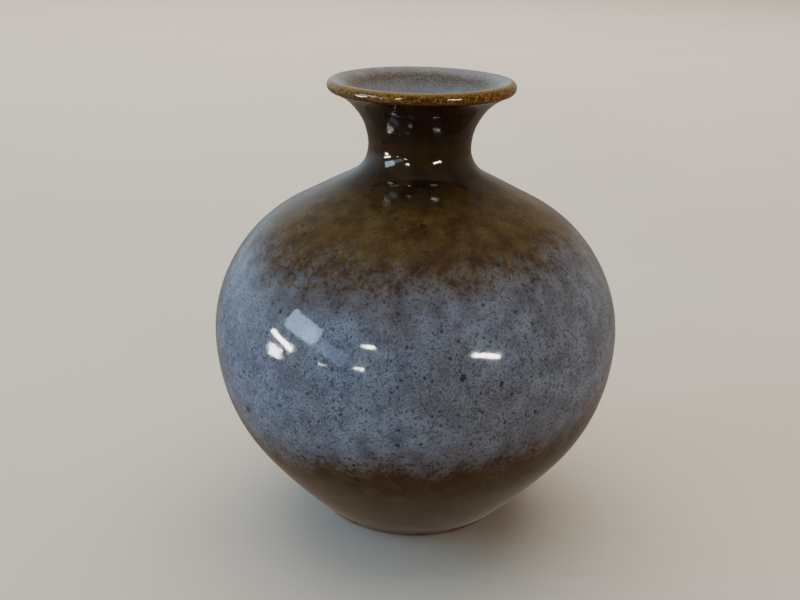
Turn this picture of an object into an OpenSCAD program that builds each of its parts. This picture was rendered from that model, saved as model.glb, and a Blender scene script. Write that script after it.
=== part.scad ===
// Stoneware bottle vase: round belly, narrow neck, flared mouth with a rolled lip.
// Units are mm, Z is up, and the origin is the middle of the face that the foot stands on.
// The outer line runs from the foot up to the lip: wall, belly, shoulder, a straight slope, neck,
// flare and lip, each running smoothly into the next. Every piece is a flat section of that line
// spun about the axis. Lengths beside the slope go in steps of 0.17, as its sides are in the ratio
// 8 : 15 : 17, and there the curves meet exactly.

/* [Overall size] */
// Height from the foot to the top of the lip
total_h = 200; // [196:1:204]
// Largest width across the belly
belly_d = 183; // [178:1:188]

/* [Curves of the outer line] */
// Lower wall, from the foot up to the belly
wall_arc = 275; // [255:5:295]
// Belly, below its widest line
belly_arc = 85; // [83:1:87]
// Shoulder, above the widest line
shoulder_arc = 64.94; // [64.26:0.34:65.62]
// Length of the straight slope from the shoulder to the neck
slope_len = 30.6; // [29.92:0.34:31.28]
// Hollow curve from the slope up to the narrowest line of the neck
neck_arc = 14.28; // [13.6:0.34:14.96]
// Hollow curve of the flared mouth, at the middle of its wall
flare_mid = 28; // [27:0.5:29]

/* [Clay and glaze] */
// Thickness of the glazed wall, which is also the thickness of the rolled lip
wall_t = 5.1; // [4.76:0.17:5.1]
// Thickness of the glazed floor above the turned hollow
floor_t = 5.4; // [4:0.2:8]
// Thickness of each coat of glaze
glaze_t = 0.68; // [0.51:0.17:0.85]
// Part of the outer coat taken by the blue-grey glaze, where it lies over the brown
band_t = 0.34; // [0.17:0.17:0.34]
// Height where the blue-grey band begins, low on the belly
band_low_z = 61; // [54:1:68]
// Height where the blue-grey band ends, on the shoulder
band_high_z = 137; // [128:1:142]
// Last part of the flare, in degrees, that belongs to the lip
lip_turn = 12; // [6:1:18]

/* [Foot] */
// Depth of the turned hollow, which is also the height of the bare foot
foot_h = 3; // [2:0.5:4]
// Width of the ring that the vase stands on
foot_w = 7; // [5:0.5:9]
// Softened edges of the ring
foot_bevel = 0.8; // [0.4:0.2:1]

/* [Hidden] */
$fn = 180;

clay = [0.50, 0.37, 0.26];
brown = [0.13, 0.08, 0.05];
blue_grey = [0.45, 0.48, 0.54];
amber = [0.50, 0.32, 0.13];
mouth_grey = [0.36, 0.36, 0.35];

far = 425;
lip_r = wall_t / 2;
flare_arc = flare_mid - lip_r;
belly_r = belly_d / 2;
inner_t = wall_t - glaze_t;

// Directions from an arc's centre to where it hands over to the next, from the foot up.
// Each is a side of a right triangle with whole sides, so that the arcs meet exactly.
wall_dir = [4, -3] / 5;
level_dir = [1, 0];
slope_dir = [8, 15] / 17;
slope_way = [-15, 8] / 17;
lip_dir = [-44, 117] / 125;
lip_side_dir = [117, 44] / 125;

// Height of the widest line, worked down from the top of the lip.
rise = (shoulder_arc + neck_arc) * slope_dir + slope_len * slope_way + flare_mid * lip_dir;
belly_z = total_h - lip_r - rise[1];

// Centres of the arcs.
belly_c = [belly_r - belly_arc, belly_z];
wall_c = belly_c - (wall_arc - belly_arc) * wall_dir;
shoulder_c = [belly_r - shoulder_arc, belly_z];
neck_c = shoulder_c + (shoulder_arc + neck_arc) * slope_dir + slope_len * slope_way;
flare_c = neck_c + (flare_arc - neck_arc) * level_dir;
lip_c = flare_c + flare_mid * lip_dir;

// Lower and upper end of the slope.
slope_low = shoulder_c + shoulder_arc * slope_dir;
slope_high = slope_low + slope_len * slope_way;

// Round inside of the bowl: thicker towards the floor, as clay is left on the wheel.
bowl_arc = belly_z - foot_h - floor_t;
bowl_c = [belly_r - wall_t - bowl_arc, belly_z];
bowl_floor_z = foot_h + floor_t - glaze_t;

// Foot, where the wall arc comes down to the table.
foot_r = wall_c[0] + sqrt(wall_arc * wall_arc - wall_c[1] * wall_c[1]);
floor_r = foot_r - foot_w / 2;

function unit(angle) = [cos(angle), sin(angle)];

foot_dir = unit(asin((foot_h - wall_c[1]) / wall_arc));
band_low_dir = unit(asin((band_low_z - belly_z) / belly_arc));
band_high_dir = unit(asin((band_high_z - belly_z) / shoulder_arc));
lip_start_dir = unit(atan2(lip_dir[1], lip_dir[0]) + lip_turn);

// Section between radii r0 and r1 about c, from direction d0 to d1.
module strip(c, r0, r1, d0, d1) {
    translate(c) intersection() {
        difference() {
            circle(r1);
            circle(r0);
        }
        polygon([[0, 0], far * d0, far * d1]);
    }
}

// The same at a depth of t0 to t1 under a round curve of the body.
module round_strip(c, r, t0, t1, d0, d1) {
    strip(c, r - t1, r - t0, d0, d1);
}

// The same under a hollow curve of the neck, whose centre is outside the clay.
module hollow_strip(c, r, t0, t1, d0, d1) {
    strip(c, r + t0, r + t1, d0, d1);
}

// Slope and neck at a depth of t0 to t1, up to the narrowest line.
module neck_strip(t0, t1) {
    polygon([
        slope_low - t0 * slope_dir,
        slope_high - t0 * slope_dir,
        slope_high - t1 * slope_dir,
        slope_low - t1 * slope_dir
    ]);
    hollow_strip(neck_c, neck_arc, t0, t1, -slope_dir, -level_dir);
}

// Flare at a depth of t0 to t1, from direction d0 to d1.
module flare_strip(t0, t1, d0, d1) {
    hollow_strip(flare_c, flare_arc, t0, t1, d0, d1);
}

// Part of the section outside radius r, from height z0 to z1.
module layer(r, z0, z1) {
    translate([r, z0]) square([far, z1 - z0]);
}

// Ring that the vase stands on: bare clay with softened edges.
module foot_ring() {
    color(clay) rotate_extrude() intersection() {
        translate(wall_c) circle(wall_arc - glaze_t);
        polygon([
            [foot_r - foot_w + foot_bevel, 0],
            [foot_r - glaze_t - foot_bevel, 0],
            [foot_r + foot_bevel, 2 * foot_bevel],
            [foot_r + foot_w, foot_h],
            [foot_r - foot_w, foot_h],
            [foot_r - foot_w, foot_bevel]
        ]);
    }
}

// Floor of the bowl, dished on the inside.
module floor_disc() {
    color(clay) rotate_extrude() difference() {
        translate([0, foot_h]) square([floor_r, bowl_arc / 2]);
        translate(bowl_c) circle(bowl_arc + glaze_t);
        translate([0, bowl_floor_z]) square([bowl_c[0], bowl_arc]);
    }
}

// Wall of the bowl, from the floor up to the widest line.
module belly_wall() {
    turn_z = belly_z + (belly_arc - glaze_t) * wall_dir[1];
    color(clay) rotate_extrude() difference() {
        union() {
            intersection() {
                translate(wall_c) circle(wall_arc - glaze_t);
                layer(floor_r, foot_h, turn_z);
            }
            intersection() {
                translate(belly_c) circle(belly_arc - glaze_t);
                layer(floor_r, turn_z, belly_z);
            }
        }
        translate(bowl_c) circle(bowl_arc + glaze_t);
    }
}

// Wall drawn in above the widest line, up to where the slope to the neck starts.
module shoulder_wall() {
    color(clay) rotate_extrude()
        round_strip(shoulder_c, shoulder_arc, glaze_t, inner_t, level_dir, slope_dir);
}

// Slope, narrow neck and flared mouth.
module neck_wall() {
    color(clay) rotate_extrude() {
        neck_strip(glaze_t, inner_t);
        flare_strip(glaze_t, inner_t, -level_dir, lip_start_dir);
    }
}

// Rolled lip with the last of the flare.
module lip_roll() {
    color(clay) rotate_extrude() {
        flare_strip(glaze_t, inner_t, lip_start_dir, lip_dir);
        translate(lip_c) intersection() {
            circle(lip_r - glaze_t);
            polygon([far * lip_dir, -far * lip_dir, far * lip_side_dir]);
        }
    }
}

// Dark brown coat over the whole outside, thinner where the band lies on it.
module brown_glaze() {
    color(brown) rotate_extrude() {
        round_strip(wall_c, wall_arc, 0, glaze_t, foot_dir, wall_dir);
        round_strip(belly_c, belly_arc, 0, glaze_t, wall_dir, band_low_dir);
        round_strip(belly_c, belly_arc, band_t, glaze_t, band_low_dir, level_dir);
        round_strip(shoulder_c, shoulder_arc, band_t, glaze_t, level_dir, band_high_dir);
        round_strip(shoulder_c, shoulder_arc, 0, glaze_t, band_high_dir, slope_dir);
        neck_strip(0, glaze_t);
        flare_strip(0, glaze_t, -level_dir, lip_dir);
    }
}

// Blue-grey speckled coat laid over the brown one around the belly.
module blue_glaze_band() {
    color(blue_grey) rotate_extrude() {
        round_strip(belly_c, belly_arc, 0, band_t, band_low_dir, level_dir);
        round_strip(shoulder_c, shoulder_arc, 0, band_t, level_dir, band_high_dir);
    }
}

// Amber coat where the glaze breaks over the lip.
module rim_glaze() {
    color(amber) rotate_extrude() {
        strip(lip_c, lip_r - glaze_t, lip_r, -lip_dir, lip_side_dir);
        strip(lip_c, lip_r - glaze_t, lip_r, lip_side_dir, lip_dir);
    }
}

// Grey coat inside the flared mouth, down to the narrowest line of the neck.
module mouth_glaze() {
    color(mouth_grey) rotate_extrude() flare_strip(inner_t, wall_t, -level_dir, lip_dir);
}

// Coat inside the body, from the floor up to the narrowest line of the neck.
module liner_glaze() {
    color(brown) rotate_extrude() {
        translate([0, bowl_floor_z]) square([bowl_c[0], glaze_t]);
        strip(bowl_c, bowl_arc, bowl_arc + glaze_t, [0, -1], level_dir);
        round_strip(shoulder_c, shoulder_arc, inner_t, wall_t, level_dir, slope_dir);
        neck_strip(inner_t, wall_t);
    }
}

foot_ring();
floor_disc();
belly_wall();
shoulder_wall();
neck_wall();
lip_roll();
brown_glaze();
blue_glaze_band();
rim_glaze();
mouth_glaze();
liner_glaze();
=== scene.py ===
"""Looks of the stoneware bottle vase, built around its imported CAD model.

The CAD model holds the shape. The clay under the glaze stays as it is, and each coat of glaze, the foot
ring and the turned floor are made again here with the small unevenness of a vase thrown by hand.
The vase's own line is followed from the foot up the outside, over the lip and down the inside, and a
place on it is called "along": the distance in metres from the lower edge of the glaze.
"""

import math

import bmesh
import bpy
import numpy as np
from mathutils import Matrix, Vector


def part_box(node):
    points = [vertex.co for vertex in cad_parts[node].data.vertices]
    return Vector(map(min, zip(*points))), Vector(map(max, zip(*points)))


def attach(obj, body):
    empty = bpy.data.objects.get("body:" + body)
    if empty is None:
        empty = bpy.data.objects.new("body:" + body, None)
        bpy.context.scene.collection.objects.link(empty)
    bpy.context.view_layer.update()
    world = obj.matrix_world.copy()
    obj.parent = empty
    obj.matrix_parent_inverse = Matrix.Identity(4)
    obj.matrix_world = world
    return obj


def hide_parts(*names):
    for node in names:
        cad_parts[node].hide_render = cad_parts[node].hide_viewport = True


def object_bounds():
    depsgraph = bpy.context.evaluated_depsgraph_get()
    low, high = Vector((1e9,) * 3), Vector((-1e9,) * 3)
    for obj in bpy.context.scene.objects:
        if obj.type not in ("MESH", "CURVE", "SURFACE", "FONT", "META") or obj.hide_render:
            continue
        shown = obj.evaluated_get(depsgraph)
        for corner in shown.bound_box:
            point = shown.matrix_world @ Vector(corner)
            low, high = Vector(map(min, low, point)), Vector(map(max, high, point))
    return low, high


MM = 0.001
TAU = 2 * math.pi

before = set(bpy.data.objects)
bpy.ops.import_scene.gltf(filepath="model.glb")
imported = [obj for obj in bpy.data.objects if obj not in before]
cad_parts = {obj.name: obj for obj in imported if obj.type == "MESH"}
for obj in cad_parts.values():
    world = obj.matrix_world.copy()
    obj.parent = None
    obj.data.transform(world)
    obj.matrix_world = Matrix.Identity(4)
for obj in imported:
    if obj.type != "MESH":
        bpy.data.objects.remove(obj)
cad_low, cad_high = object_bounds()

# ---------------------------------------------------------------- sizes, in metres

# Arcs of the outline, as in the CAD model.
WALL_ARC = 275 * MM
BELLY_ARC = 85 * MM
SHOULDER_ARC = 64.94 * MM
SLOPE_LEN = 30.6 * MM
NECK_ARC = 14.28 * MM
FLARE_MID = 28 * MM
WALL_T = 5.1 * MM
GLAZE_T = 0.68 * MM
BAND_T = 0.34 * MM
BAND_FADE = 7 * MM
FOOT_W = 7 * MM
FOOT_BEVEL = 0.8 * MM
LIP_R = WALL_T / 2
FLARE_ARC = FLARE_MID - LIP_R

# Directions in which one arc hands over to the next, as slopes of whole-sided triangles.
WALL_DIR = (4 / 5, -3 / 5)
SLOPE_DIR = (8 / 17, 15 / 17)
SLOPE_WAY = (-15 / 17, 8 / 17)
LIP_DIR = (-44 / 125, 117 / 125)

# From the frame.
BELLY_R = cad_high.x
BELLY_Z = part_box("belly_wall")[1].z
FOOT_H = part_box("foot_ring")[1].z
BAND_LOW_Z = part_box("blue_glaze_band")[0].z
BAND_HIGH_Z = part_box("blue_glaze_band")[1].z
FLOOR_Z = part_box("liner_glaze")[0].z + GLAZE_T

# Meshes.
TURNS = 360
ROW_STEP = 1.25 * MM
UNDER_STEP = 4.5 * MM
ROW_BEND = math.radians(5)
ON_AXIS = 0.001 * MM


def degrees(direction):
    return math.degrees(math.atan2(direction[1], direction[0]))


def toward(start, distance, direction):
    return start[0] + distance * direction[0], start[1] + distance * direction[1]


def smooth(x, low=0.0, high=1.0):
    """0 below low, 1 above high, and an even S between them."""
    t = np.clip((x - low) / (high - low), 0, 1)
    return t * t * (3 - 2 * t)


# ---------------------------------------------------------------- the vase's line


class Arc:
    """An arc in the plane of the section.

    The glaze faces outward where the angle grows, and inward where it falls.
    """

    def __init__(self, centre, radius, start, end):
        self.centre, self.radius, self.start, self.end = centre, radius, start, end
        self.length = radius * math.radians(abs(end - start))
        self.side = 1 if end > start else -1

    def at(self, share):
        angle = np.radians(self.start + (self.end - self.start) * share)
        x, z = np.cos(angle), np.sin(angle)
        r = self.centre[0] + self.radius * x
        return r, self.centre[1] + self.radius * z, self.side * x, self.side * z


class Straight:
    """A straight run of the section. The glaze faces to the right of the way it goes."""

    def __init__(self, start, end):
        self.start = start
        self.way = end[0] - start[0], end[1] - start[1]
        self.length = math.hypot(*self.way)

    def at(self, share):
        level = np.zeros_like(share)
        r, z = self.start[0] + self.way[0] * share, self.start[1] + self.way[1] * share
        return r, z, level + self.way[1] / self.length, level - self.way[0] / self.length


class Line:
    """Arcs end to end, with names for the places where they meet."""

    def __init__(self):
        self.parts, self.ends, self.marks = [], [0.0], {"foot": 0.0}

    def add(self, part, mark):
        self.parts.append(part)
        self.ends.append(self.ends[-1] + part.length)
        self.marks[mark] = self.ends[-1]

    def at(self, along):
        """Radius, height and outward direction at each place.

        The first arc also runs on below the foot mark.
        """
        along = np.asarray(along, float)
        found = [np.zeros_like(along) for _ in range(4)]
        last = len(self.parts) - 1
        for i, part in enumerate(self.parts):
            here = (along >= self.ends[i]) if i else np.ones_like(along, bool)
            if i < last:
                here &= along < self.ends[i + 1]
            for whole, piece in zip(found, part.at((along[here] - self.ends[i]) / part.length)):
                whole[here] = piece
        return found

    def rows(self, first, last, longest):
        """Places from first to last, closer together on the tight arcs, with one where two arcs meet."""
        places = [np.array([first])]
        for i, part in enumerate(self.parts):
            a, b = max(first, self.ends[i]), min(last, self.ends[i + 1])
            if b - a > 1e-9:
                step = min(longest, getattr(part, "radius", 1) * ROW_BEND)
                count = max(2, math.ceil((b - a) / step))
                places.append(np.linspace(a, b, count + 1)[1:])
        return np.concatenate(places)


def vase_line():
    belly_c = (BELLY_R - BELLY_ARC, BELLY_Z)
    shoulder_c = (BELLY_R - SHOULDER_ARC, BELLY_Z)
    wall_c = toward(belly_c, BELLY_ARC - WALL_ARC, WALL_DIR)
    slope_low = toward(shoulder_c, SHOULDER_ARC, SLOPE_DIR)
    slope_high = toward(slope_low, SLOPE_LEN, SLOPE_WAY)
    neck_c = toward(slope_high, NECK_ARC, SLOPE_DIR)
    flare_c = (neck_c[0] + FLARE_ARC - NECK_ARC, neck_c[1])
    lip_c = toward(flare_c, FLARE_MID, LIP_DIR)
    bowl_arc = BELLY_Z - FLOOR_Z
    bowl_c = (BELLY_R - WALL_T - bowl_arc, BELLY_Z)

    foot = math.degrees(math.asin((FOOT_H - wall_c[1]) / WALL_ARC))
    band_low = math.degrees(math.asin((BAND_LOW_Z - BELLY_Z) / BELLY_ARC))
    band_high = math.degrees(math.asin((BAND_HIGH_Z - BELLY_Z) / SHOULDER_ARC))
    wall, slope, lip = degrees(WALL_DIR), degrees(SLOPE_DIR), degrees(LIP_DIR)

    line = Line()
    line.add(Arc(wall_c, WALL_ARC, foot, wall), "wall")
    line.add(Arc(belly_c, BELLY_ARC, wall, band_low), "band_low")
    line.add(Arc(belly_c, BELLY_ARC, band_low, 0), "widest")
    line.add(Arc(shoulder_c, SHOULDER_ARC, 0, band_high), "band_high")
    line.add(Arc(shoulder_c, SHOULDER_ARC, band_high, slope), "shoulder")
    line.add(Straight(slope_low, slope_high), "slope")
    line.add(Arc(neck_c, NECK_ARC, slope + 180, 180), "waist")
    line.add(Arc(flare_c, FLARE_ARC, 180, lip), "lip")
    line.add(Arc(lip_c, LIP_R, lip - 180, lip), "mouth")
    line.add(Arc(flare_c, FLARE_ARC + WALL_T, lip, 180), "throat")
    line.add(Arc(neck_c, NECK_ARC + WALL_T, 180, slope + 180), "inside_neck")
    inside_high = toward(slope_high, -WALL_T, SLOPE_DIR)
    inside_low = toward(slope_low, -WALL_T, SLOPE_DIR)
    line.add(Straight(inside_high, inside_low), "inside_slope")
    line.add(Arc(shoulder_c, SHOULDER_ARC - WALL_T, slope, 0), "inside_widest")
    line.add(Arc(bowl_c, bowl_arc, 0, -90), "inside_floor")
    line.add(Straight((bowl_c[0], FLOOR_Z), (0, FLOOR_Z)), "axis")
    return line


LINE = vase_line()
AT = LINE.marks


# ---------------------------------------------------------------- unevenness of the hand

# Glaze that ran over the foot: its place round the vase, its half width, how far it ran and how far
# it bulges.
RUN_ANGLE = math.radians(-135)
RUN_RADIUS = 42 * MM
RUN_HALF = math.radians(7)
RUN_DROP = 1.6 * MM
RUN_BULGE = 0.5 * MM
RUN_PLACE = (RUN_RADIUS * math.cos(RUN_ANGLE), RUN_RADIUS * math.sin(RUN_ANGLE), 3 * MM)

# Length over which the straying of the glaze's lower edge dies out.
EDGE_FADE = 12 * MM


def run(angle):
    """1 in the middle of the glaze run, 0 away from it."""
    turn = (angle - RUN_ANGLE + math.pi) % TAU - math.pi
    return np.exp(-((turn / RUN_HALF) ** 2))


def lower_edge(angle):
    """How far the glaze's lower edge strays along the line."""
    stray = 0.25 * MM * (np.sin(3 * angle + 0.6) + 0.6 * np.sin(7 * angle + 2.0))
    return stray - RUN_DROP * run(angle)


def unevenness(along, z, out_r, angle):
    """How far the surface stands off the exact line, along its outward direction."""
    rings = np.sin(TAU * z / (9.5 * MM) + angle + 0.8 * np.sin(2 * angle)) * smooth(z, 0, 40 * MM)
    ring_depth = (0.010 + 0.035 * smooth(z, 145 * MM, 165 * MM)) * MM
    waves = 0.10 * np.sin(2 * angle + 0.9 + 9 * z) + 0.05 * np.sin(3 * angle + 40 * z + 1.7)
    swell = 0.05 * np.sin(TAU * z / (46 * MM) + 1.1 + np.sin(angle))
    lean = 0.34 * smooth(z, 165 * MM, 195 * MM) * np.cos(angle) * out_r
    roll = 0.16 * np.exp(-((along - 2.2 * MM) / (1.6 * MM)) ** 2)
    bulge = RUN_BULGE * run(angle) * np.exp(-(((along - 1.0 * MM) / (2.2 * MM)) ** 2))
    return ring_depth * rings + MM * (waves * smooth(z, 0, 30 * MM) + swell + lean + roll) + bulge


def surface(along, angle, depth):
    """Points at a depth under the handmade surface. The unevenness dies out at the clay."""
    edge = np.clip(1 - along / EDGE_FADE, 0, 1) ** 2
    along = along + lower_edge(angle) * edge
    r, z, out_r, out_z = LINE.at(along)
    deep = depth(along)
    lift = unevenness(along, z, out_r, angle) * np.clip(1 - (deep / GLAZE_T) ** 2, 0, 1) - deep
    r, z = np.maximum(r + out_r * lift, 0), z + out_z * lift
    return np.stack([r * np.cos(angle), r * np.sin(angle), z], axis=-1)


def skin_depth(along):
    """Depth of the coat's own face: none, but for the rounded lower edge where it meets the bare foot."""
    t = np.clip(along / (0.8 * MM), 0, 1)
    return GLAZE_T * (1 - np.sqrt(1 - (1 - t) ** 2))


def band_depth(along):
    """Depth of the face between the brown coat and the band over it.

    The band thins to nothing at its edges.
    """
    low = smooth(along, AT["band_low"], AT["band_low"] + BAND_FADE)
    high = smooth(along, AT["band_high"] - BAND_FADE, AT["band_high"])
    return BAND_T * low * (1 - high)


def clay_depth(along):
    return np.full_like(along, GLAZE_T)


# ---------------------------------------------------------------- meshes


def ring_of(along, depth, outward):
    """Rows of points and normals round the vase for a list of places on its line."""
    angle = np.arange(TURNS) * TAU / TURNS
    s, a = np.meshgrid(along, angle, indexing="ij")
    small = 0.02 * MM
    up = surface(s + small, a, depth) - surface(s - small, a, depth)
    tilt = small / BELLY_R
    on = surface(s, a + tilt, depth) - surface(s, a - tilt, depth)
    normal = np.cross(on, up)
    length = np.linalg.norm(normal, axis=-1, keepdims=True)
    normal = np.where(length > 1e-16, normal / np.maximum(length, 1e-16), [0.0, 0.0, 1.0])
    return surface(s, a, depth), normal * outward


def closed_mesh(name, points, normals, along):
    """A mesh from rows of points. A row on the axis becomes one point, and the last row joins the first."""
    bm = bmesh.new()
    place = bm.verts.layers.float.new("along")
    rows, vertex_normals = [], []
    for row, row_normals, where in zip(points, normals, along):
        on_axis = np.abs(row[:, :2]).max() < ON_AXIS
        made = [bm.verts.new(p) for p in (row[:1] if on_axis else row)]
        for v in made:
            v[place] = where
        rows.append(made)
        vertex_normals.extend(row_normals[: len(made)])
    for a, b in zip(rows, rows[1:] + rows[:1]):
        for i in range(TURNS):
            j = (i + 1) % TURNS
            if len(a) > 1 and len(b) > 1:
                bm.faces.new((a[i], a[j], b[j], b[i]))
            elif len(a) > 1:
                bm.faces.new((a[i], a[j], b[0]))
            elif len(b) > 1:
                bm.faces.new((a[0], b[j], b[i]))
    mesh = bpy.data.meshes.new(name)
    bm.to_mesh(mesh)
    bm.free()
    mesh.shade_smooth()
    mesh.normals_split_custom_set_from_vertices([tuple(n) for n in vertex_normals])
    return mesh


def coat(name, slot, first, last, top, under):
    """A coat of glaze between two places on the line and between two depths, in place of the CAD node."""
    along = LINE.rows(first, last, ROW_STEP)
    below = LINE.rows(first, last, UNDER_STEP)[::-1]
    top_points, top_normals = ring_of(along, top, 1)
    under_points, under_normals = ring_of(below, under, -1)
    points = np.concatenate([top_points, under_points])
    normals = np.concatenate([top_normals, under_normals])
    mesh = closed_mesh(name, points, normals, np.concatenate([along, below]))
    return add_piece(name, mesh, slot)


def add_piece(name, mesh, slot):
    piece = bpy.data.objects.new(name + "_finish", mesh)
    bpy.context.scene.collection.objects.link(piece)
    mesh.materials.append(MATERIALS[slot])
    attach(piece, "root")
    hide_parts(name)
    return piece


def turned_ring(name, slot):
    """The bare foot: the CAD ring with its softened edges, marked by the turning tool."""
    low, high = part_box(name)
    outer, inner, bevel = high.x, high.x - FOOT_W, FOOT_BEVEL
    side_r = LINE.at(np.array([0.0]))[0][0] - GLAZE_T
    corners = [
        (inner, bevel),
        (inner + 0.25 * bevel, 0.25 * bevel),
        (inner + bevel, 0),
        (side_r - 2.6 * bevel, 0),
        (side_r - 1.8 * bevel, 0.25 * bevel),
        (side_r - 1.4 * bevel, bevel),
        (outer - 0.1 * MM, high.z),
        (inner, high.z),
    ]
    radii, heights = [], []
    for (r0, z0), (r1, z1) in zip(corners, corners[1:] + corners[:1]):
        count = max(1, round(math.hypot(r1 - r0, z1 - z0) / (0.35 * MM)))
        share = np.arange(count) / count
        radii.append(r0 + (r1 - r0) * share)
        heights.append(z0 + (z1 - z0) * share)
    radii, heights = np.concatenate(radii), np.concatenate(heights)
    grooves = 0.06 * MM * (0.5 + 0.5 * np.cos(TAU * radii / (1.1 * MM)))
    heights = np.where(heights < high.z / 2, np.maximum(heights, 0) + grooves * (heights < bevel), heights)
    return add_piece(name, lathe(name, radii, heights), slot)


def turned_floor(name, slot):
    """The underside of the floor, hollowed a little and marked by a turning tool that wound outward."""
    low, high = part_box(name)
    radii = np.arange(0, high.x + 0.1 * MM, 0.5 * MM)
    radii[-1] = high.x
    tool = 0.5 + 0.5 * np.cos(TAU * radii / (3.2 * MM))
    heights = low.z + MM * (0.16 * tool ** 3 + 0.5 * (1 - radii / high.x) ** 2) * (radii < high.x - 3 * MM)
    top = np.array([high.x, high.x / 2, 0])
    top_z = np.full_like(top, low.z + 2 * MM)
    mesh = lathe(name, np.append(radii, top), np.append(heights, top_z), closed=False)
    return add_piece(name, mesh, slot)


def lathe(name, radii, heights, closed=True):
    """A section in its own plane spun about the axis, with the normals of its faces."""
    bm = bmesh.new()
    rows = []
    for r, z in zip(radii, heights):
        turns = TURNS if r > ON_AXIS else 1
        angles = [TAU * i / TURNS for i in range(turns)]
        rows.append([bm.verts.new((r * math.cos(a), r * math.sin(a), z)) for a in angles])
    pairs = list(zip(rows, rows[1:]))
    if closed:
        pairs.append((rows[-1], rows[0]))
    for a, b in pairs:
        for i in range(TURNS):
            j = (i + 1) % TURNS
            corners = [a[i % len(a)], a[j % len(a)], b[j % len(b)], b[i % len(b)]]
            corners = list(dict.fromkeys(corners))
            if len(corners) > 2:
                bm.faces.new(corners)
    bmesh.ops.recalc_face_normals(bm, faces=bm.faces)
    mesh = bpy.data.meshes.new(name)
    bm.to_mesh(mesh)
    bm.free()
    mesh.shade_smooth()
    mesh.set_sharp_from_angle(angle=math.radians(40))
    return mesh


# ---------------------------------------------------------------- materials


class Look:
    """A material built from nodes in the object's own space. Sizes are in metres."""

    def __init__(self, name, roughness=0.5):
        self.material = bpy.data.materials.new(name)
        self.material.use_nodes = True
        self.tree = self.material.node_tree
        self.shader = self.tree.nodes["Principled BSDF"]
        self.shader.inputs["Roughness"].default_value = roughness
        self.place = self.tree.nodes.new("ShaderNodeTexCoord").outputs["Object"]

    def put(self, value, socket):
        """Links a node's output to a socket, or sets the socket to a number or a colour."""
        if isinstance(value, bpy.types.NodeSocket):
            self.tree.links.new(value, socket)
        elif isinstance(value, tuple):
            socket.default_value = (*value, 1)
        else:
            socket.default_value = value

    def along(self):
        node = self.tree.nodes.new("ShaderNodeAttribute")
        node.attribute_name = "along"
        return node.outputs["Fac"]

    def side(self, axis, low, high):
        """0 where that coordinate is low, 1 where it is high."""
        split = self.tree.nodes.new("ShaderNodeSeparateXYZ")
        self.put(self.place, split.inputs[0])
        return self.span(split.outputs[axis], low, high)

    def distance_to(self, point):
        node = self.tree.nodes.new("ShaderNodeVectorMath")
        node.operation = "DISTANCE"
        self.put(self.place, node.inputs[0])
        node.inputs[1].default_value = point
        return node.outputs["Value"]

    def noise(self, size, detail=2.0, roughness=0.5, stretch=(1, 1, 1)):
        """Noise from 0 to 1 with lumps of about that size, longer or shorter along each axis by stretch."""
        mapping = self.tree.nodes.new("ShaderNodeMapping")
        mapping.inputs["Scale"].default_value = [1 / s for s in stretch]
        self.put(self.place, mapping.inputs["Vector"])
        node = self.tree.nodes.new("ShaderNodeTexNoise")
        self.put(mapping.outputs[0], node.inputs["Vector"])
        node.inputs["Scale"].default_value = 1 / size
        node.inputs["Detail"].default_value = detail
        node.inputs["Roughness"].default_value = roughness
        return node.outputs["Fac"]

    def specks(self, spacing, size, share):
        """1 inside scattered round specks of about that size, of which only a share of the cells has one."""
        wobble = self.tree.nodes.new("ShaderNodeTexNoise")
        self.put(self.place, wobble.inputs["Vector"])
        wobble.inputs["Scale"].default_value = 0.6 / size
        node = self.tree.nodes.new("ShaderNodeTexVoronoi")
        self.put(self.place, node.inputs["Vector"])
        node.inputs["Scale"].default_value = 1 / spacing
        picked = self.tree.nodes.new("ShaderNodeSeparateColor")
        self.put(node.outputs["Color"], picked.inputs[0])
        reach = self.math("MULTIPLY", picked.outputs[1], size / spacing * 0.6)
        reach = self.math("ADD", reach, size / spacing * 0.2)
        reach = self.math("MULTIPLY", reach, self.span(wobble.outputs["Fac"], 0.3, 0.7, 0.6, 1.4))
        inside = self.math("LESS_THAN", node.outputs["Distance"], reach)
        chosen = self.math("LESS_THAN", picked.outputs[0], share)
        return self.math("MULTIPLY", inside, chosen)

    def math(self, operation, a, b=0.0):
        node = self.tree.nodes.new("ShaderNodeMath")
        node.operation = operation
        self.put(a, node.inputs[0])
        self.put(b, node.inputs[1])
        return node.outputs[0]

    def span(self, value, low, high, to_low=0.0, to_high=1.0):
        """A smooth S from to_low at low to to_high at high."""
        node = self.tree.nodes.new("ShaderNodeMapRange")
        node.interpolation_type = "SMOOTHSTEP"
        names = ("Value", "From Min", "From Max", "To Min", "To Max")
        for name, number in zip(names, (value, low, high, to_low, to_high)):
            self.put(number, node.inputs[name])
        return node.outputs["Result"]

    def between(self, value, low, high, soft):
        """1 from low to high, with soft edges that wide."""
        rise = self.span(value, low - soft / 2, low + soft / 2)
        fall = self.span(value, high - soft / 2, high + soft / 2, 1, 0)
        return self.math("MULTIPLY", rise, fall)

    def mix(self, factor, a, b):
        node = self.tree.nodes.new("ShaderNodeMix")
        node.data_type = "RGBA"
        self.put(factor, node.inputs[0])
        self.put(a, node.inputs[6])
        self.put(b, node.inputs[7])
        return node.outputs[2]

    def bump(self, height, distance, under=None):
        node = self.tree.nodes.new("ShaderNodeBump")
        node.inputs["Strength"].default_value = 1
        node.inputs["Distance"].default_value = distance
        self.put(height, node.inputs["Height"])
        if under is not None:
            self.put(under, node.inputs["Normal"])
        return node.outputs["Normal"]

    def finish(self, colour, roughness=None, normal=None):
        self.put(colour, self.shader.inputs["Base Color"])
        if roughness is not None:
            self.put(roughness, self.shader.inputs["Roughness"])
        if normal is not None:
            self.put(normal, self.shader.inputs["Normal"])
        return self.material


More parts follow.
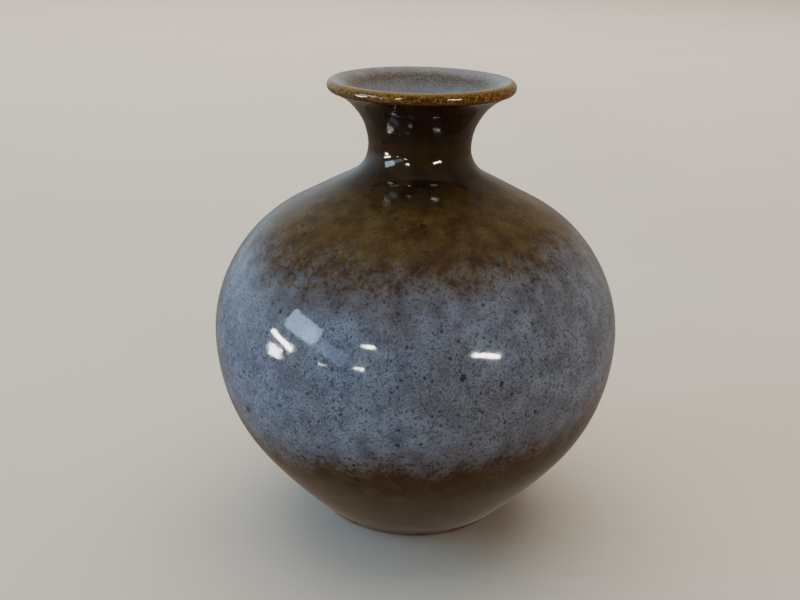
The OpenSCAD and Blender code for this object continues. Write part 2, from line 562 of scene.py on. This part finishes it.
# Colours, linear.
NECK_BROWN = (0.025, 0.013, 0.008)
# Olive of the neck glaze's clouds, also used for a painted reflection of the table at the waist.
NECK_OLIVE_AND_REFLECTION = (0.056, 0.030, 0.010)
OLIVE = (0.120, 0.076, 0.024)
RED_BROWN = (0.058, 0.025, 0.008)
UMBER = (0.030, 0.016, 0.008)
BLUE_GREY = (0.150, 0.178, 0.25)
PALE_BLUE = (0.29, 0.34, 0.46)
SLATE = (0.064, 0.064, 0.086)
WARM_GREY = (0.16, 0.155, 0.18)
IRON = (0.018, 0.013, 0.013)
AMBER = (0.36, 0.170, 0.030)
# Tan of the painted highlight along the lip's inner edge.
PAINTED_LIP_HIGHLIGHT = (0.32, 0.22, 0.08)
MOUTH_OLIVE = (0.115, 0.089, 0.064)
MOUTH_GREY = (0.29, 0.29, 0.295)
MOUTH_BLUE = (0.26, 0.275, 0.31)
LINER_BROWN = (0.030, 0.018, 0.010)
TOASTED_PALE, TOASTED_DARK = (0.27, 0.165, 0.095), (0.14, 0.075, 0.042)
FIRED_PALE, FIRED_DARK = (0.30, 0.23, 0.16), (0.20, 0.14, 0.09)
FLOOR_SHADE, FLOOR_PALE = (0.69, 0.62, 0.53), (0.72, 0.65, 0.56)


def glaze(name):
    """The vase's glaze. One pattern runs through every coat, so that the coats join without a seam."""
    look = Look(name, roughness=0.09)
    along = look.along()
    fine = look.noise(0.8 * MM, detail=2.5, roughness=0.65)
    flecks = look.noise(1.9 * MM, detail=2.5, roughness=0.6)
    clouds = look.noise(8 * MM, detail=3, roughness=0.55)
    drifts = look.noise(34 * MM, detail=2)

    # Blue-grey over brown. Its edges wander, and thin out into a spray of fine spots.
    stray = look.math("MULTIPLY", look.math("SUBTRACT", drifts, 0.5), 30 * MM)
    wander = look.math("ADD", along, stray)
    sloped = look.math("SUBTRACT", wander, look.math("MULTIPLY", look.side("X", -60 * MM, 60 * MM), 12 * MM))
    low = look.span(sloped, AT["band_low"] - 19 * MM, AT["band_low"] + 11 * MM)
    dipped = look.math("SUBTRACT", wander, look.math("MULTIPLY", look.side("Y", -70 * MM, 10 * MM), 7 * MM))
    high = look.span(dipped, AT["band_high"] - 37 * MM, AT["band_high"] + 12 * MM, 1, 0)
    cover = look.math("MULTIPLY", low, high)
    grain = look.math("ADD", look.math("MULTIPLY", flecks, 0.44), look.math("MULTIPLY", fine, 0.44))
    grain = look.math("ADD", grain, look.math("MULTIPLY", clouds, 0.12))
    spray = look.math("MULTIPLY", look.math("SUBTRACT", grain, 0.5), look.span(cover, 0, 0.12, 0.6, 3.8))
    blue = look.span(look.math("ADD", cover, spray), 0.05, 0.95)

    # The blue-grey itself: paler clouds, soft dark flecks and a few iron spots.
    belly = look.mix(look.span(clouds, 0.30, 0.70, 0, 0.8), BLUE_GREY, PALE_BLUE)
    belly = look.mix(look.span(drifts, 0.36, 0.66, 0, 0.55), belly, WARM_GREY)
    belly = look.mix(look.span(flecks, 0.50, 0.64, 0, 0.65), belly, SLATE)
    belly = look.mix(look.span(fine, 0.50, 0.62, 0, 0.55), belly, SLATE)
    belly = look.mix(look.span(fine, 0.47, 0.36, 0, 0.6), belly, PALE_BLUE)

    # Brown: olive on the shoulder, redder low on the belly, near black on the neck.
    brown = look.mix(look.span(clouds, 0.25, 0.75), RED_BROWN, OLIVE)
    brown = look.mix(look.span(fine, 0.48, 0.62, 0, 0.6), brown, UMBER)
    below = look.span(along, AT["band_low"] - 20 * MM, AT["widest"], 1, 0)
    brown = look.mix(look.math("MULTIPLY", below, 0.45), brown, UMBER)
    neck = look.mix(look.span(clouds, 0.35, 0.65), NECK_BROWN, NECK_OLIVE_AND_REFLECTION)
    # A painted reflection of the table: an olive band across the neck's waist.
    waist = look.between(along, AT["waist"] - 6 * MM, AT["waist"] + 4 * MM, 5 * MM)
    neck = look.mix(look.math("MULTIPLY", waist, 0.6), neck, NECK_OLIVE_AND_REFLECTION)
    on_neck = look.span(along, AT["slope"] - 18 * MM, AT["slope"] + 3 * MM)
    brown = look.mix(on_neck, brown, neck)
    flare = look.span(along, AT["waist"] + 2 * MM, AT["waist"] + 9 * MM)
    brown = look.mix(flare, brown, NECK_BROWN)

    outside = look.mix(blue, brown, belly)

    # Amber where the glaze breaks over the lip, and a painted highlight in tan on its inner edge.
    thin = look.math("ADD", along, look.math("MULTIPLY", look.math("SUBTRACT", grain, 0.5), 4.5 * MM))
    amber = look.mix(look.span(fine, 0.42, 0.58, 0, 0.85), AMBER, UMBER)
    amber = look.mix(look.span(flecks, 0.46, 0.60, 0, 0.75), amber, RED_BROWN)
    outside = look.mix(look.span(thin, AT["lip"] + 0.1 * MM, AT["lip"] + 2.4 * MM), outside, amber)
    # Painted highlight: a tan band along the lip's inner edge.
    outside = look.mix(look.span(thin, AT["lip"] + 4.6 * MM, AT["lip"] + 5.8 * MM, 0, 0.55), outside, PAINTED_LIP_HIGHLIGHT)

    # Inside the mouth: grey at the lip, olive, then blue-grey again, and brown down the throat.
    deep = look.math("ADD", along, look.math("MULTIPLY", look.math("SUBTRACT", clouds, 0.5), 6 * MM))
    olive = look.between(deep, AT["mouth"] + 4 * MM, AT["mouth"] + 20 * MM, 9 * MM)
    inside = look.mix(olive, MOUTH_GREY, MOUTH_OLIVE)
    blue_deep = look.between(deep, AT["mouth"] + 12 * MM, AT["throat"] - 5 * MM, 12 * MM)
    inside = look.mix(blue_deep, inside, MOUTH_BLUE)
    inside = look.mix(look.span(fine, 0.48, 0.68, 0, 0.4), inside, UMBER)
    inside = look.mix(look.span(fine, 0.47, 0.36, 0, 0.4), inside, MOUTH_GREY)
    inside = look.mix(look.span(deep, AT["throat"] - 8 * MM, AT["throat"] + 8 * MM), inside, LINER_BROWN)
    colour = look.mix(look.span(thin, AT["lip"] + 6.0 * MM, AT["lip"] + 7.2 * MM), outside, inside)

    iron = look.specks(8 * MM, 1.7 * MM, 0.33)
    body = look.span(along, AT["lip"] - 3 * MM, AT["lip"], 1, 0)
    colour = look.mix(look.math("MULTIPLY", iron, look.math("MULTIPLY", body, 0.75)), colour, IRON)
    pores = look.specks(3.2 * MM, 1.0 * MM, 0.5)
    colour = look.mix(look.math("MULTIPLY", pores, look.math("MULTIPLY", body, 0.6)), colour, IRON)

    # A dark bead where glaze ran down over the foot.
    bead = look.span(look.distance_to(RUN_PLACE), 3 * MM, 6 * MM, 1, 0)
    bead = look.math("MULTIPLY", bead, look.span(along, 1.6 * MM, 3.2 * MM, 1, 0))
    colour = look.mix(bead, colour, IRON)

    # The shoulder and the inside of the mouth are less glossy than the rest.
    dull = look.between(along, AT["band_high"], AT["slope"] - 6 * MM, 24 * MM)
    dull = look.math("MAXIMUM", dull, look.span(along, AT["mouth"] - 2 * MM, AT["mouth"] + 4 * MM))
    patches = look.noise(3 * MM, detail=3)
    rough = look.math("ADD", look.span(dull, 0, 1, 0.055, 0.17), look.span(patches, 0.3, 0.8, 0, 0.06))
    peel = look.noise(2.6 * MM, detail=1.5)
    skin = look.noise(0.7 * MM, detail=1.5)
    normal = look.bump(peel, 0.026 * MM)
    normal = look.bump(skin, 0.006 * MM, normal)
    return look.finish(colour, rough, normal)


def bare_clay(name, pale, dark):
    """Unglazed stoneware: toasted, sandy, with grog and iron specks."""
    look = Look(name, roughness=0.85)
    clouds = look.noise(11 * MM, detail=3)
    sand = look.noise(0.5 * MM, detail=2, roughness=0.7)
    colour = look.mix(look.span(clouds, 0.3, 0.7), pale, dark)
    colour = look.mix(look.span(sand, 0.55, 0.7, 0, 0.5), colour, dark)
    colour = look.mix(look.specks(4 * MM, 0.7 * MM, 0.4), colour, IRON)
    rough = look.span(sand, 0.3, 0.7, 0.72, 0.95)
    return look.finish(colour, rough, look.bump(sand, 0.12 * MM))


def floor_paint(name):
    look = Look(name, roughness=0.7)
    clouds = look.noise(300 * MM, detail=3)
    return look.finish(look.mix(look.span(clouds, 0.3, 0.7), FLOOR_SHADE, FLOOR_PALE))


MATERIALS = {
    "bare_clay": bare_clay("bare_clay", TOASTED_PALE, TOASTED_DARK),
    "fired_clay": bare_clay("fired_clay", FIRED_PALE, FIRED_DARK),
}
for coat_slot in ("brown_glaze", "blue_grey_glaze", "amber_glaze", "mouth_glaze", "liner_glaze"):
    MATERIALS[coat_slot] = glaze(coat_slot)


# ---------------------------------------------------------------- camera, light and floor

# The camera stood 0.45 m in front of the axis at 0.27 m, a little turned and tilted.
CAMERA_AT = Vector((0, -0.4481, 0.2661))
CAMERA_LENS = 46.56
CAMERA_DOWN, CAMERA_LEFT, CAMERA_ROLL = (math.radians(a) for a in (20.481, 0.925, 1.093))


def make_camera():
    ahead = Vector((
        -math.sin(CAMERA_LEFT) * math.cos(CAMERA_DOWN),
        math.cos(CAMERA_LEFT) * math.cos(CAMERA_DOWN),
        -math.sin(CAMERA_DOWN),
    ))
    level = Vector((math.cos(CAMERA_LEFT), math.sin(CAMERA_LEFT), 0))
    above = level.cross(ahead)
    right = level * math.cos(CAMERA_ROLL) + above * math.sin(CAMERA_ROLL)
    up = above * math.cos(CAMERA_ROLL) - level * math.sin(CAMERA_ROLL)
    data = bpy.data.cameras.new("camera")
    data.lens = CAMERA_LENS
    data.sensor_width = 36
    data.clip_start, data.clip_end = 0.01, 50
    camera = bpy.data.objects.new("camera", data)
    camera.matrix_world = Matrix.Translation(CAMERA_AT) @ Matrix((right, up, -ahead)).transposed().to_4x4()
    bpy.context.scene.collection.objects.link(camera)
    bpy.context.scene.camera = camera


def area_light(name, wide, tall, radiance, colour):
    """A rectangular light of that size in metres, which the camera doesn't see."""
    data = bpy.data.lights.new(name, "AREA")
    data.shape = "RECTANGLE"
    data.size, data.size_y = wide, tall
    data.energy = radiance * math.pi * wide * tall
    data.color = colour
    light = bpy.data.objects.new(name, data)
    light.visible_camera = False
    bpy.context.scene.collection.objects.link(light)
    return light


def light_panel(name, azimuth, elevation, wide, tall, radiance, colour, distance=2.0, tilt=0.0):
    """A rectangular light, placed as it is seen from the vase.

    The azimuth is 0 toward the camera and grows to the right. wide and tall are the angles that the
    light fills, in degrees, and tilt turns it about the way to the vase.
    """
    a, e = math.radians(azimuth), math.radians(elevation)
    away = Vector((math.sin(a) * math.cos(e), -math.cos(a) * math.cos(e), math.sin(e)))
    size, size_y = (2 * distance * math.tan(math.radians(angle) / 2) for angle in (wide, tall))
    light = area_light(name, size, size_y, radiance, colour)
    light.location = Vector((0, 0, 0.1)) + away * distance
    turn = Matrix.Rotation(math.radians(tilt), 4, "Z")
    light.rotation_euler = (away.to_track_quat("Z", "Y").to_matrix().to_4x4() @ turn).to_euler()
    return light


def ceiling(name, centre, wide, deep, radiance, colour):
    """A large light that faces the floor, and is not mirrored in the glaze either."""
    light = area_light(name, wide, deep, radiance, colour)
    light.location = centre
    light.visible_glossy = False


def soft(*panel, **more):
    """A large light for the body colours only, which is not mirrored in the glaze."""
    light_panel(*panel, **more).visible_glossy = False


def shine(*panel, **more):
    """A light that is only mirrored in the glaze."""
    light_panel(*panel, **more).visible_diffuse = False


def make_floor():
    bm = bmesh.new()
    bmesh.ops.create_grid(bm, x_segments=16, y_segments=16, size=7)
    mesh = bpy.data.meshes.new("floor")
    bm.to_mesh(mesh)
    bm.free()
    mesh.materials.append(floor_paint("floor"))
    floor = bpy.data.objects.new("floor", mesh)
    floor.visible_glossy = False
    bpy.context.scene.collection.objects.link(floor)


# Colours of the surroundings at eye level, from below and from overhead.
LEVEL_FRONT, LEVEL_BACK, LEVEL_LEFT = (0.05, 0.045, 0.04, 1), (0.34, 0.32, 0.27, 1), (0.52, 0.64, 0.74, 1)
BELOW_FRONT, BELOW_BACK = (0.08, 0.065, 0.055, 1), (0.22, 0.18, 0.145, 1)
OVERHEAD = (0.19, 0.17, 0.13, 1)


def make_world():
    """Soft surroundings, dark in front of the vase and paler beside and behind it.

    Around itself the vase mirrors only these and the lights made by shine.
    """
    world = bpy.data.worlds.new("studio")
    world.use_nodes = True
    bpy.context.scene.world = world
    tree = world.node_tree
    way = tree.nodes.new("ShaderNodeTexCoord").outputs["Generated"]
    split = tree.nodes.new("ShaderNodeSeparateXYZ")
    tree.links.new(way, split.inputs[0])

    def ramp(value, low, high):
        node = tree.nodes.new("ShaderNodeMapRange")
        node.interpolation_type = "SMOOTHSTEP"
        node.inputs["From Min"].default_value = low
        node.inputs["From Max"].default_value = high
        tree.links.new(value, node.inputs["Value"])
        return node.outputs["Result"]

    def mix(factor, a, b):
        node = tree.nodes.new("ShaderNodeMix")
        node.data_type = "RGBA"
        tree.links.new(factor, node.inputs[0])
        for value, socket in ((a, node.inputs[6]), (b, node.inputs[7])):
            if isinstance(value, tuple):
                socket.default_value = value
            else:
                tree.links.new(value, socket)
        return node.outputs[2]

    level = mix(ramp(split.outputs["Y"], -0.8, 0.7), LEVEL_FRONT, LEVEL_BACK)
    below = mix(ramp(split.outputs["Y"], -0.7, 0.6), BELOW_FRONT, BELOW_BACK)
    leftward = tree.nodes.new("ShaderNodeMath")
    leftward.operation = "SUBTRACT"
    tree.links.new(split.outputs["Y"], leftward.inputs[0])
    tree.links.new(split.outputs["X"], leftward.inputs[1])
    level = mix(ramp(leftward.outputs[0], 0.7, 1.35), level, LEVEL_LEFT)
    low = mix(ramp(split.outputs["Z"], -0.2, 0.05), below, level)
    colour = mix(ramp(split.outputs["Z"], 0.1, 0.8), low, OVERHEAD)
    tree.links.new(colour, tree.nodes["Background"].inputs["Color"])


SKY, BLUE, WARM, PLAIN = (0.50, 0.68, 1.0), (0.34, 0.68, 1.0), (1.0, 0.80, 0.62), (1.0, 0.96, 0.88)

make_camera()
make_floor()
make_world()

shine("sky", -66, 18, 22, 12, 11.0, SKY, tilt=-10)
shine("sky_side", -50, 11.5, 30, 10, 2.8, SKY, tilt=-22)
shine("window_bar", -73, 4.4, 16, 2.6, 110, PLAIN, distance=0.8, tilt=-18)
shine("window_block", -74.5, -3, 8, 6, 60, PLAIN, distance=0.6)
shine("strip_upper", -25.2, 19.6, 7, 1.5, 130, PLAIN)
shine("strip_lower", -28.5, 2.7, 4.5, 1.1, 110, PLAIN)
shine("strip_left", -47, 0, 4, 0.7, 40, PLAIN, distance=0.8)
shine("strip_right", 38.5, 11.7, 15, 3.0, 130, PLAIN, tilt=-18)
soft("soft_left", -78, 26, 50, 40, 2.6, BLUE)
soft("soft_front", -20, 40, 50, 40, 0.45, PLAIN, distance=1.6)
soft("soft_right", 85, 25, 50, 36, 0.65, WARM)
soft("soft_top", 180, 72, 70, 70, 1.7, PLAIN)
ceiling("ceiling_back", (-0.5, 2.7, 1.7), 5.0, 2.6, 2.2, PLAIN)


# ---------------------------------------------------------------- the vase

turned_ring("foot_ring", "bare_clay")
turned_floor("floor_disc", "bare_clay")
for clay_node in ("belly_wall", "shoulder_wall", "neck_wall", "lip_roll"):
    clay_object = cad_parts[clay_node]
    clay_object.data.materials.clear()
    clay_object.data.materials.append(MATERIALS["fired_clay"])


def brown_top(along):
    return np.maximum(skin_depth(along), band_depth(along))


def no_depth(along):
    return np.zeros_like(along)


coat("brown_glaze", "brown_glaze", AT["foot"], AT["lip"], brown_top, clay_depth)
coat("blue_glaze_band", "blue_grey_glaze", AT["band_low"], AT["band_high"], no_depth, band_depth)
coat("rim_glaze", "amber_glaze", AT["lip"], AT["mouth"], no_depth, clay_depth)
coat("mouth_glaze", "mouth_glaze", AT["mouth"], AT["throat"], no_depth, clay_depth)
coat("liner_glaze", "liner_glaze", AT["throat"], AT["axis"], no_depth, clay_depth)
